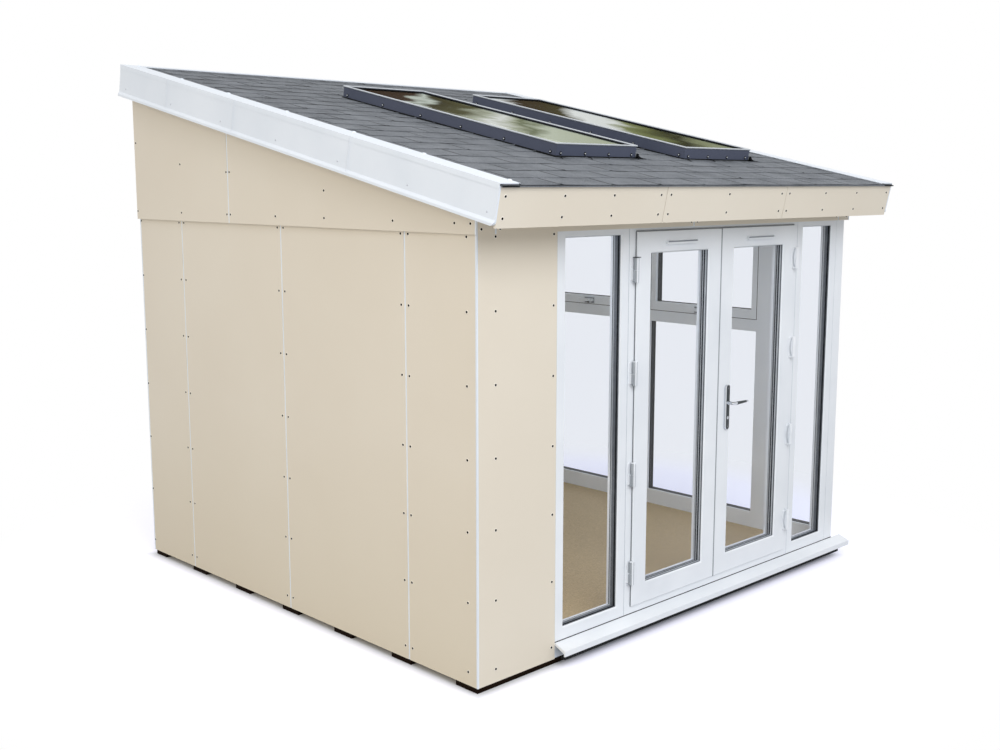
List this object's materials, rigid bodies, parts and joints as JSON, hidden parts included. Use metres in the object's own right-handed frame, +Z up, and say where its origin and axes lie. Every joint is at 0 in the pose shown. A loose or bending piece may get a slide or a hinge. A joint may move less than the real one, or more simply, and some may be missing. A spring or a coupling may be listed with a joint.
{
  "type": "garden office pod",
  "caption": "Garden office with cream board cladding, outward-opening white French doors, a glazed side wall and long skylights in a shingled single-pitch roof.",
  "frame": {"origin": "centre of the room's footprint on the ground, on the underside of the fourth of its seven floor bearers", "axes": "+Z up, -Y out of the doors, +X towards the glazed side wall"},
  "size_m": [3.262, 3.2612, 3.0139],
  "materials": {
    "bearer_timber": "rough, dark treated timber",
    "floor_board": "tan floor board",
    "panel_core": "insulated timber panel, pale lining",
    "cream_board": "painted cement board, cream, satin",
    "white_trim": "white cellular PVC trim",
    "roof_shingle": "mineral felt shingles, slate grey",
    "anthracite_metal": "powder-coated anthracite",
    "clear_glass": "sealed glass unit",
    "white_upvc": "extruded white uPVC",
    "white_hardware": "white coated hinge",
    "polished_chrome": "polished handle"
  },
  "bodies": {
    "room": {"floor_bearers": "bearer_timber", "floor_deck": "floor_board", "left_wall": "panel_core", "back_wall": "panel_core", "front_left_wall": "panel_core", "front_header": "panel_core", "right_rear_wall": "panel_core", "right_header": "panel_core", "roof_deck": "panel_core", "left_cladding": "cream_board", "left_upper_band": "cream_board", "back_cladding": "cream_board", "front_cladding": "cream_board", "right_cladding": "cream_board", "right_upper_band": "cream_board", "header_band": "cream_board", "front_fascia": "cream_board", "back_fascia": "cream_board", "roof_soffit": "cream_board", "joint_strips": "white_trim", "corner_trims": "white_trim", "base_boards": "white_trim", "left_bargeboard": "white_trim", "right_bargeboard": "white_trim", "verge_caps": "white_trim", "roof_covering": "roof_shingle", "left_skylight_kerb": "anthracite_metal", "right_skylight_kerb": "anthracite_metal", "skylight_glass": "clear_glass", "sidelight_glass": "clear_glass", "window_glass": "clear_glass", "corner_post": "white_upvc", "left_sidelight_frame": "white_upvc", "right_sidelight_frame": "white_upvc", "door_frame": "white_upvc", "front_window_frame": "white_upvc", "middle_window_frame": "white_upvc", "rear_window_frame": "white_upvc", "window_sashes": "white_upvc", "front_cill": "white_upvc", "right_cill": "white_upvc", "hinge_frame_halves": "white_hardware", "window_handles": "white_hardware"},
    "left_leaf": {"left_door": "white_upvc", "left_door_glass": "clear_glass", "left_door_hinges": "white_hardware"},
    "right_leaf": {"right_door": "white_upvc", "right_door_glass": "clear_glass", "right_door_hinges": "white_hardware", "handle_plates": "polished_chrome"},
    "lever": {"door_lever": "polished_chrome"}
  },
  "joints": [
    {"name": "left_door_hinge", "type": "hinge", "parent": "room", "child": "left_leaf", "pos_m": [-0.463, -1.52, 1.135], "axis": [0, 0, -1], "range_deg": [0, 90]},
    {"name": "right_door_hinge", "type": "hinge", "parent": "room", "child": "right_leaf", "pos_m": [0.979, -1.52, 1.135], "axis": [0, 0, 1], "range_deg": [0, 90]},
    {"name": "lever_turn", "type": "hinge", "parent": "right_leaf", "child": "lever", "pos_m": [0.334, -1.5, 1.135], "axis": [0, 1, 0], "range_deg": [0, 40], "stiffness_Nm_per_rad": 3, "springref_deg": -20.05}
  ]
}
